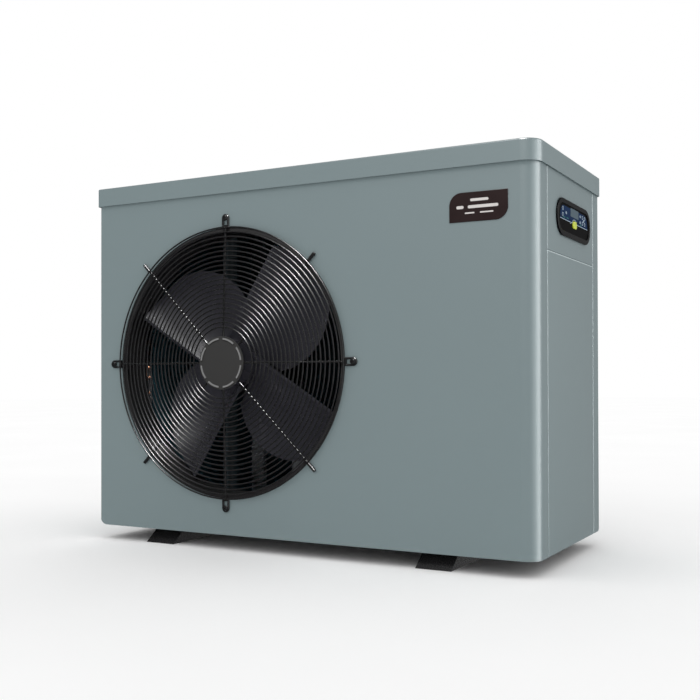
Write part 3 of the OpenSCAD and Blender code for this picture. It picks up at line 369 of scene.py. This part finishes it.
@dataclass(frozen=True)
class Glossy:
    """Polished plastic or a printed window under a clear coat, with an optional painted glow."""

    name: str
    colour: Colour
    # painted glow: emission that brightens the colour though the part is no lamp
    painted_glow: float = 0.0
    roughness: float = 0.16
    coat: float = 0.6
    sheen: float = 0.5

    def build(self) -> bpy.types.Material:
        """A smooth coat over a faintly uneven base, with the painted glow as emission."""
        s = Shader(self.name)
        wave = s.noise(40.0, 2.0)
        darker = tuple(c * 0.9 for c in self.colour)
        base = s.ramp(wave, darker, self.colour)
        return s.surface(Base_Color=base, Roughness=self.roughness + (wave - 0.5) * 0.05,
                         Coat_Weight=self.coat, Coat_Roughness=0.03,
                         Specular_IOR_Level=self.sheen, Emission_Color=base,
                         Emission_Strength=self.painted_glow, Normal=s.bump(wave, 0.00004))


@dataclass(frozen=True)
class Floor:
    """Pale matt studio floor."""

    name: str = "studio_floor"

    def build(self) -> bpy.types.Material:
        """Near white with the faintest mottling."""
        s = Shader(self.name)
        return s.surface(Base_Color=s.ramp(s.noise(2.0), (0.98, 0.98, 0.98), (1.0, 1.0, 1.0)),
                         Roughness=0.9, Specular_IOR_Level=0.0)


class Finishes:
    """Every finish, by the record's material slot, each built once."""

    def __init__(self) -> None:
        """Names the finish of each slot."""
        wanted = {
            "paint": PowderCoat("casing_paint", PAINT),
            "galvanised": Zinc("galvanised_steel"),
            "guard_black": PowderCoat("black_wire_paint", (0.02, 0.02, 0.021), 0.27, 0.00001, 0.2),
            "black_plastic": Moulded("black_plastic", (0.022, 0.02, 0.022)),
            "badge": Glossy("badge_lacquer", (0.026, 0.0125, 0.0125), 0.0, 0.4, 0.0, 0.1),
            "impeller": Moulded("impeller_plastic", (0.052, 0.051, 0.064), 0.26, 0.00002, 0.5),
            "fins": FinCoat("fin_coat"),
            "copper": DrawnMetal("copper_tube", (0.72, 0.33, 0.18)),
            "brass": DrawnMetal("valve_brass", (0.7, 0.5, 0.22)),
            "compressor_black": PowderCoat("stove_enamel", (0.012, 0.012, 0.014), 0.28, 0.00005),
            "rubber": Moulded("grommet_rubber", (0.012, 0.012, 0.012), 0.75, 0.0001),
            "pvc_grey": Moulded("pressure_plastic", (0.1, 0.115, 0.13), 0.4),
            "titanium": DrawnMetal("titanium_tube", (0.5, 0.49, 0.47), 0.34),
            "circuit": Board("circuit_board"),
            "terminal": Moulded("terminal_plastic", (0.62, 0.62, 0.56), 0.5),
            "gloss_black": Glossy("bezel_gloss", (0.004, 0.004, 0.005), 0.0, 0.22, 0.0, 0.06),
            "control_face": Glossy("control_face_gloss", (0.003, 0.003, 0.004), 0.0, 0.4, 0.0,
                                   0.02),
            # the display and the button carry a painted glow, the third value
            "display": Glossy("display_window_print", (0.18, 0.24, 0.28), 0.05, 0.2),
            "button": Glossy("button_plastic", (0.62, 0.72, 0.04), 0.1, 0.3),
        }
        self.by_slot = {slot: finish.build() for slot, finish in wanted.items()}

    def dress(self, piece: bpy.types.Object, slot: str,
              finish: bpy.types.Material | None = None) -> None:
        """Gives a piece its finish.

        Args:
            piece: the new piece.
            slot: the record's slot whose finish it takes.
            finish: a finish of its own, where it isn't the slot's.
        """
        piece.data.materials.clear()
        piece.data.materials.append(finish or self.by_slot[slot])

    def dress_cad(self) -> None:
        """Gives every CAD node the finish of its slot in the record."""
        for part in frame["record"]["subparts"]:
            piece = frame["nodes"][part["node"]]
            while len(piece.material_slots) < 1:
                piece.data.materials.append(None)
            for holder in piece.material_slots:
                holder.material = self.by_slot[part["material_slot"]]


# Studio ---------------------------------------------------------------------------------------


@dataclass(frozen=True)
class Lamp:
    """A rectangular lamp that only shows in reflections."""

    name: str
    place: Spot
    aim: Spot
    size: Point
    power: float

    def build(self) -> None:
        """Hangs the lamp so that it faces its aim."""
        data = bpy.data.lights.new(self.name, "AREA")
        data.shape = "RECTANGLE"
        data.size, data.size_y = self.size
        data.energy = self.power
        item = bpy.data.objects.new(self.name, data)
        item.location = self.place
        facing = Vector(self.aim) - Vector(self.place)
        item.rotation_euler = facing.to_track_quat("-Z", "Y").to_euler()
        item.visible_diffuse = False
        item.visible_camera = False
        bpy.context.scene.collection.objects.link(item)


@dataclass
class Studio:
    """Camera, floor, white surround and lamps. Angles are in degrees."""

    LAMPS = (Lamp("corner_strip", (3.0, 0.85, 0.5), (0.4, -0.2, 0.35), (2.0, 3.0), 130),
             Lamp("corner_soft", (3.39, -0.75, 0.5), (0.4, -0.2, 0.35), (1.7, 3.0), 40),
             Lamp("side_fill", (1.35, 2.9, 0.35), (0.43, 0.0, 0.35), (5.0, 5.0), 20),
             Lamp("guard_glint", (0.46, -1.86, 2.73), (-0.14, -0.2, 0.33), (0.8, 0.8), 420))

    place: Point = (0.89444, 0.30357)
    distance: float = 1.43542
    heading: float = 28.569
    tilt: float = 0.568
    roll: float = -0.136
    lens: float = 50.84
    sensor_w: float = 36.0
    shift_y: float = 0.0262
    near: float = 0.05
    floor_r: float = 14.0

    def camera(self) -> None:
        """Makes the camera and gives it to the scene."""
        data = bpy.data.cameras.new("camera")
        data.lens = self.lens
        data.sensor_width = self.sensor_w
        data.shift_y = self.shift_y
        data.clip_start = self.near
        item = bpy.data.objects.new("camera", data)
        turn = (Matrix.Rotation(math.radians(self.heading), 4, "Z")
                @ Matrix.Rotation(math.radians(90 + self.tilt), 4, "X")
                @ Matrix.Rotation(math.radians(self.roll), 4, "Z"))
        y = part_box("front_panel")[0][1] - self.distance
        item.matrix_world = Matrix.Translation((self.place[0], y, self.place[1])) @ turn
        bpy.context.scene.collection.objects.link(item)
        bpy.context.scene.camera = item

    def surround(self) -> None:
        """Makes the white surround, which lights the object but stays out of reflections."""
        world = bpy.data.worlds.new("white_surround")
        bpy.context.scene.world = world
        world.use_nodes = True
        background = world.node_tree.nodes["Background"]
        background.inputs["Color"].default_value = (1, 1, 1, 1)
        background.inputs["Strength"].default_value = 1.0
        world.cycles_visibility.glossy = False

    def floor(self) -> None:
        """Lays the round floor."""
        bm = bmesh.new()
        bmesh.ops.create_circle(bm, cap_ends=True, radius=self.floor_r, segments=96)
        mesh = bpy.data.meshes.new("studio_floor")
        bm.to_mesh(mesh)
        bm.free()
        mesh.materials.append(Floor().build())
        floor = bpy.data.objects.new("studio_floor", mesh)
        bpy.context.scene.collection.objects.link(floor)
        floor.visible_glossy = False

    def build(self) -> None:
        """Makes the surround, the floor, the camera and the lamps."""
        bpy.context.scene.view_settings.view_transform = "Standard"
        self.surround()
        self.floor()
        self.camera()
        for lamp in self.LAMPS:
            lamp.build()


# Shapes ---------------------------------------------------------------------------------------


class Workshop:
    """Turns finished meshes into pieces of the object. Its angles are in degrees."""

    FLAT_UNDER = 1.0
    ROUNDED_OVER = 30
    SHARP_OVER = 25.0
    WELD = 0.000002

    def __init__(self, finishes: Finishes) -> None:
        """Keeps the finishes."""
        self.finishes = finishes

    def piece(self, bm: bmesh.types.BMesh, name: str, body: str, slot: str,
              nodes: Sequence[str] = (), finish: bpy.types.Material | None = None,
              sharp: float = 38.0) -> bpy.types.Object:
        """Makes a piece.

        Args:
            bm: its mesh, which is used up.
            name: its name.
            body: the body that it moves with.
            slot: the record's slot.
            nodes: CAD nodes that it stands for.
            finish: a finish of its own.
            sharp: angle in degrees over which an edge stays sharp.

        Returns:
            The piece.
        """
        bmesh.ops.recalc_face_normals(bm, faces=bm.faces[:])
        for face in bm.faces:
            face.smooth = True
        mesh = bpy.data.meshes.new(name)
        bm.to_mesh(mesh)
        bm.free()
        mesh.set_sharp_from_angle(angle=math.radians(sharp))
        item = bpy.data.objects.new(name, mesh)
        bpy.context.scene.collection.objects.link(item)
        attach(item, body)
        if nodes:
            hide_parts(*nodes)
        self.finishes.dress(item, slot, finish)
        LOG.info("%s: %d faces", name, len(mesh.polygons))
        return item

    def softened(self, node: str, name: str, body: str, slot: str, width: float,
                 finish: bpy.types.Material | None = None) -> bpy.types.Object:
        """Makes a piece from a CAD node's shape with its sharp edges rounded.

        Args:
            node: the CAD node.
            name: the new piece's name.
            body: the body that it moves with.
            slot: the record's slot.
            width: width of the rounding in metres.
            finish: a finish of its own.

        Returns:
            The piece.
        """
        bm = bmesh.new()
        bm.from_mesh(frame["nodes"][node].data)
        bmesh.ops.remove_doubles(bm, verts=bm.verts[:], dist=self.WELD)
        bmesh.ops.dissolve_limit(bm, angle_limit=math.radians(self.FLAT_UNDER), verts=bm.verts[:],
                                 edges=bm.edges[:])
        limit = math.radians(self.ROUNDED_OVER)
        edges = [e for e in bm.edges if e.is_manifold and e.calc_face_angle(0.0) > limit]
        bmesh.ops.bevel(bm, geom=edges, offset=width, offset_type="OFFSET", segments=2, profile=0.5,
                        affect="EDGES", clamp_overlap=True, material=-1)
        return self.piece(bm, name, body, slot, (node,), finish, self.SHARP_OVER)


def slab(bm: bmesh.types.BMesh, outline: Sequence[Vector], lift: Vector) -> None:
    """Adds a thin plate.

    Args:
        bm: the mesh that it goes into.
        outline: the corners of its back, in order.
        lift: from its back to its front.
    """
    face = bm.faces.new([bm.verts.new(point) for point in outline])
    grown = bmesh.ops.extrude_face_region(bm, geom=[face], use_keep_orig=True)
    moved = [v for v in grown["geom"] if isinstance(v, bmesh.types.BMVert)]
    bmesh.ops.translate(bm, vec=lift, verts=moved)


def rounded(length: float, width: float, radius: float, steps: int = 6) -> list[Point]:
    """Outline of a rectangle with round corners about the origin.

    Args:
        length: its size along the first direction.
        width: its size along the second.
        radius: radius of the corners.
        steps: flats to a corner.

    Returns:
        The corners in order.
    """
    points = []
    for turn, (sx, sy) in enumerate(((1, 1), (-1, 1), (-1, -1), (1, -1))):
        for i in range(steps + 1):
            a = math.radians(90 * (turn + i / steps))
            points.append((sx * (length / 2 - radius) + radius * math.cos(a),
                           sy * (width / 2 - radius) + radius * math.sin(a)))
    return points


def tube_ring(bm: bmesh.types.BMesh, centre: Vector, radius: float, wire: float, steps: int,
              sides: int = 10) -> None:
    """Adds a ring of round wire about the Y axis.

    Args:
        bm: the mesh that it goes into.
        centre: its middle.
        radius: radius of the wire's middle line.
        wire: radius of the wire.
        steps: segments round the ring.
        sides: segments round the wire.
    """
    made = bmesh.ops.create_circle(bm, cap_ends=False, radius=wire, segments=sides,
                                   matrix=Matrix.Translation(centre + Vector((radius, 0, 0))))
    edges = list({e for v in made["verts"] for e in v.link_edges})
    bmesh.ops.spin(bm, geom=made["verts"] + edges, cent=centre, axis=(0, 1, 0), angle=math.tau,
                   steps=steps, use_merge=True)


@dataclass
class Guard:
    """The fan guard's wire rings and the finish of its disc, whose front rim carries a painted
    highlight.
    """

    shop: Workshop
    rings: int = 22
    first_r: float = 0.063
    last_r: float = 0.2405
    wire_r: float = 0.0014
    stand_off: float = 0.0058
    dome: float = 0.006
    disc_rim: float = 0.0006
    charcoal: Colour = (0.026, 0.025, 0.024)
    # pale grey of the painted highlight on the disc's front rim
    rim_highlight_grey: Colour = (0.2, 0.2, 0.2)

    def build(self) -> None:
        """Makes the smooth wire rings and dresses the disc, with a painted highlight on its rim."""
        low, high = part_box("guard_rings")
        centre_x = (low[0] + high[0]) / 2
        centre_z = (low[2] + high[2]) / 2
        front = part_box("front_panel")[0][1]
        bm = bmesh.new()
        for i in range(self.rings):
            part = i / (self.rings - 1)
            radius = self.first_r + part * (self.last_r - self.first_r)
            lift = self.stand_off + self.dome * (1 - part)
            tube_ring(bm, Vector((centre_x, front - lift, centre_z)), radius, self.wire_r,
                      96 + 4 * i)
        self.shop.piece(bm, "guard_wire_rings", "cabinet", "guard_black", ("guard_rings",))
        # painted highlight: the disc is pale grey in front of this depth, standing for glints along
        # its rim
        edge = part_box("guard_disc")[0][1] + self.disc_rim
        coat = PaintedHighlightCoat("disc_charcoal_rim_highlight", self.charcoal, self.rim_highlight_grey, edge, Axis.DEPTH, 0.5)
        paint = coat.build()
        for holder in frame["nodes"]["guard_disc"].material_slots:
            holder.material = paint


@dataclass
class Coil:
    """The air coil's pack of thin fins, along the rear and round the left corner."""

    shop: Workshop
    pitch: float = 0.0022
    thick: float = 0.0003
    bend_r: float = 0.07
    depth: float = 0.024
    fold: float = 0.2

    def fin(self, bm: bmesh.types.BMesh, spot: Vector, heading: float, height: float) -> None:
        """Adds one fin, folded along its middle.

        Args:
            bm: the mesh that it goes into.
            spot: its middle.
            heading: the way along the coil there, in radians.
            height: its height.
        """
        half = self.depth / 2
        for side in (-1, 1):
            matrix = (Matrix.Translation(spot) @ Matrix.Rotation(heading, 4, "Z")
                      @ Matrix.Translation((0, side * half / 2, 0))
                      @ Matrix.Rotation(-side * self.fold, 4, "Z")
                      @ Matrix.Diagonal((self.thick, half, height, 1)))
            bmesh.ops.create_cube(bm, size=1.0, matrix=matrix)

    def build(self) -> None:
        """Makes every fin of the two legs and the bend."""
        low, high = (Vector(v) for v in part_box("evaporator_fins"))
        height = high.z - low.z
        middle_z = (high.z + low.z) / 2
        half = self.depth / 2
        turn = Vector((low.x + self.bend_r, high.y - self.bend_r, middle_z))
        bm = bmesh.new()
        for i in range(int((high.x - turn.x) / self.pitch)):
            spot = Vector((high.x - (i + 0.5) * self.pitch, high.y - half, middle_z))
            self.fin(bm, spot, 0.0, height)
        for i in range(int((turn.y - low.y) / self.pitch)):
            spot = Vector((low.x + half, low.y + (i + 0.5) * self.pitch, middle_z))
            self.fin(bm, spot, math.pi / 2, height)
        count = int(math.pi / 2 * (self.bend_r - self.depth) / self.pitch)
        for i in range(count):
            a = math.pi / 2 * (1 + (i + 0.5) / count)
            way = Vector((math.cos(a), math.sin(a), 0))
            self.fin(bm, turn + way * (self.bend_r - half), a - math.pi / 2, height)
        self.shop.piece(bm, "coil_fins", "cabinet", "fins", ("evaporator_fins",))


@dataclass
class Controller:
    """The side controller's printed front, measured from the middle of its face."""

    RINGS = ((-0.066, 0.014), (-0.066, 0.004), (0.05, 0.014), (0.064, 0.014), (0.05, 0.004),
             (0.064, 0.004))
    BARS = ((-0.047, 0.009), (0.057, 0.009), (0.036, 0.014), (0.036, 0.004))
    TEAL_MARKS = ((-0.06, 0.0005, 0.014), (-0.04, 0.001, 0.012), (0.04, 0.0, 0.01))

    shop: Workshop
    print_t: float = 0.0002
    margin_l: float = 0.009
    margin_h: float = 0.003
    line_v: float = -0.0032
    line_half_w: float = 0.0004
    arch_l: float = 0.0135
    arch_h: float = 0.0065
    field_corner: float = 0.02
    ring_r: float = 0.0034
    ring_w: float = 0.0009
    bar_w: float = 0.0012
    bar_h: float = 0.005
    bar_gap: float = 0.0022
    middle: Vector = field(init=False)
    face_x: float = field(init=False)
    half_l: float = field(init=False)
    half_h: float = field(init=False)
    button_u: float = field(init=False)

    def __post_init__(self) -> None:
        """Measures the face and the button."""
        low, high = (Vector(v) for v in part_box("controller_face"))
        self.middle = (low + high) / 2
        self.face_x = high.x
        self.half_l = (high.y - low.y) / 2 - self.margin_l
        self.half_h = (high.z - low.z) / 2 - self.margin_h
        b_low, b_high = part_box("power_button")
        self.button_u = (b_low[1] + b_high[1]) / 2 - self.middle.y

    def arch(self) -> list[Point]:
        """The border line over the button, from front to rear."""
        points = [(-self.half_l, self.line_v)]
        for i in range(17):
            a = math.pi * (1 - i / 16)
            points.append((self.button_u + self.arch_l * math.cos(a),
                           self.line_v + self.arch_h * math.sin(a)))
        return points + [(self.half_l, self.line_v)]

    def plate(self, bm: bmesh.types.BMesh, outline: Sequence[Point], u: float = 0.0,
              v: float = 0.0, layer: int = 1) -> None:
        """Adds a printed patch.

        Args:
            bm: the mesh that it goes into.
            outline: its corners.
            u: how far it is moved to the rear.
            v: how far it is moved up.
            layer: layers of ink up to its front.
        """
        corners = [Vector((self.face_x, self.middle.y + (x + u), self.middle.z + (y + v)))
                   for x, y in outline]
        slab(bm, corners, Vector((self.print_t * layer, 0, 0)))

    def ring(self, bm: bmesh.types.BMesh, u: float, v: float, sides: int = 12) -> None:
        """Adds a printed ring.

        Args:
            bm: the mesh that it goes into.
            u: its middle, to the rear.
            v: its middle, up.
            sides: flats round it.
        """
        outer, inner = self.ring_r, self.ring_r - self.ring_w
        for i in range(sides):
            a, b = (math.tau * (i + k) / sides for k in (0, 1))
            corners = ((outer, a), (outer, b), (inner, b), (inner, a))
            self.plate(bm, [(r * math.cos(t), r * math.sin(t)) for r, t in corners], u, v, 2)

    def field_print(self) -> None:
        """Makes the coloured field over the border line."""
        # the blue field has a painted glow of 0.02
        blue = Glossy("control_blue_print", (0.008, 0.028, 0.085), 0.02, 0.4, 0.0, 0.02).build()
        top = self.half_h - self.field_corner
        outline = self.arch() + [(self.half_l, top)]
        outline += [(x, y) for x, y in rounded(2 * self.half_l, 2 * self.half_h, self.field_corner)
                    if y > top + 0.0001]
        outline += [(-self.half_l, top)]
        bm = bmesh.new()
        self.plate(bm, outline)
        self.shop.piece(bm, "control_blue_field", "cabinet", "control_face", (), blue)

    def symbols(self) -> None:
        """Makes the border line, the rings and the bars."""
        # the white print has a painted glow of 0.1
        white = Glossy("control_white_print", (0.42, 0.52, 0.6), 0.1, 0.4, 0.0, 0.02).build()
        bm = bmesh.new()
        line = self.arch()
        for (u0, v0), (u1, v1) in zip(line, line[1:]):
            side = Vector((v0 - v1, u1 - u0)).normalized() * self.line_half_w
            self.plate(bm, [(u0 + side.x, v0 + side.y), (u1 + side.x, v1 + side.y),
                            (u1 - side.x, v1 - side.y), (u0 - side.x, v0 - side.y)], layer=2)
        for u, v in self.RINGS:
            self.ring(bm, u, v)
        for u, v in self.BARS:
            for k in (-1, 0, 1):
                bar = rounded(self.bar_w, self.bar_h - self.bar_w * abs(k), 0.0005, 2)
                self.plate(bm, bar, u + self.bar_gap * k, v, 2)
        self.shop.piece(bm, "control_symbols", "cabinet", "control_face", (), white)

    def display(self) -> None:
        """Makes the display's glass."""
        # the display glass has a painted glow of 0.1
        glass = Glossy("display_glass_print", (0.09, 0.125, 0.15), 0.1, 0.3, 0.0, 0.02).build()
        low, high = (Vector(v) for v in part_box("display_window"))
        bm = bmesh.new()
        self.plate(bm, rounded(high.y - low.y, high.z - low.z, 0.0015, 3),
                   (low.y + high.y) / 2 - self.middle.y, (low.z + high.z) / 2 - self.middle.z, 3)
        self.shop.piece(bm, "display_glass", "cabinet", "display", ("display_window",), glass)

    def teal_marks(self) -> None:
        """Makes the small teal marks near the border line."""
        # the teal marks have a painted glow of 0.05
        teal = Glossy("control_teal_print", (0.01, 0.11, 0.13), 0.05, 0.3, 0.0, 0.1).build()
        bm = bmesh.new()
        for u, v, length in self.TEAL_MARKS:
            self.plate(bm, rounded(length, 0.0022, 0.001, 3), u, v, 2)
        self.shop.piece(bm, "control_teal_marks", "cabinet", "control_face", (), teal)

    def build(self) -> None:
        """Makes every print, from the face outwards."""
        self.field_print()
        self.symbols()
        self.display()
        self.teal_marks()


@dataclass
class Badge:
    """The front badge with its generic mark."""

    ROWS = ((0.0105, 0.0042, ((0.002, 0.030),)),
            (0.0, 0.0048, ((-0.03, 0.012), (0.008, 0.05))),
            (-0.0095, 0.0022, ((-0.014, 0.016), (0.014, 0.022))))

    shop: Workshop
    print_t: float = 0.0002

    def build(self) -> None:
        """Makes the softened plate and the raised bars of the mark."""
        self.shop.softened("badge_plate", "badge_leaf", "cabinet", "badge", 0.0004)
        low, high = (Vector(v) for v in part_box("badge_plate"))
        middle = (low + high) / 2
        ink = Glossy("badge_print", (0.72, 0.68, 0.66), 0.0, 0.4).build()
        bm = bmesh.new()
        for v, height, bars in self.ROWS:
            for u, length in bars:
                outline = rounded(length, height, height * 0.45, 3)
                corners = [Vector((middle.x + u + x, low.y, middle.z + v + z)) for x, z in outline]
                slab(bm, corners, Vector((0, -self.print_t, 0)))
        self.shop.piece(bm, "badge_mark", "cabinet", "badge", (), ink)


@dataclass
class Casing:
    """The right side's two panels and the controller's bezel, with rounded edges."""

    shop: Workshop
    edge_w: float = 0.0008
    # height of the painted highlight along the lower panel's top edge, and its pale colour
    highlight_h: float = 0.0016
    pale: Colour = (0.5, 0.58, 0.59)

    def build(self) -> None:
        """Makes the lower panel, with a painted highlight along its top edge, the upper one and the
        bezel.
        """
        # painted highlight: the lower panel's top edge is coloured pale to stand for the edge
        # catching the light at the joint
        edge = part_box("right_lower_panel")[1][2] - self.highlight_h
        edge_highlight = PaintedHighlightCoat("casing_paint_edge_highlight", PAINT, self.pale, edge).build()
        self.shop.softened("right_lower_panel", "right_lower_panel_soft", "cabinet", "paint",
                           self.edge_w, edge_highlight)
        self.shop.softened("right_upper_panel", "right_upper_panel_soft", "cabinet", "paint",
                           self.edge_w)
        self.shop.softened("controller_bezel", "controller_bezel_soft", "cabinet", "gloss_black",
                           self.edge_w)


# Main -----------------------------------------------------------------------------------------


def main() -> None:
    """Builds everything in order and reports each piece."""
    logging.basicConfig(level=logging.INFO, format="%(message)s")
    finishes = Finishes()
    finishes.dress_cad()
    shop = Workshop(finishes)
    Guard(shop).build()
    Coil(shop).build()
    Badge(shop).build()
    Controller(shop).build()
    Casing(shop).build()
    Studio().build()
    LOG.info("studio done")


if __name__ == "__main__":
    main()
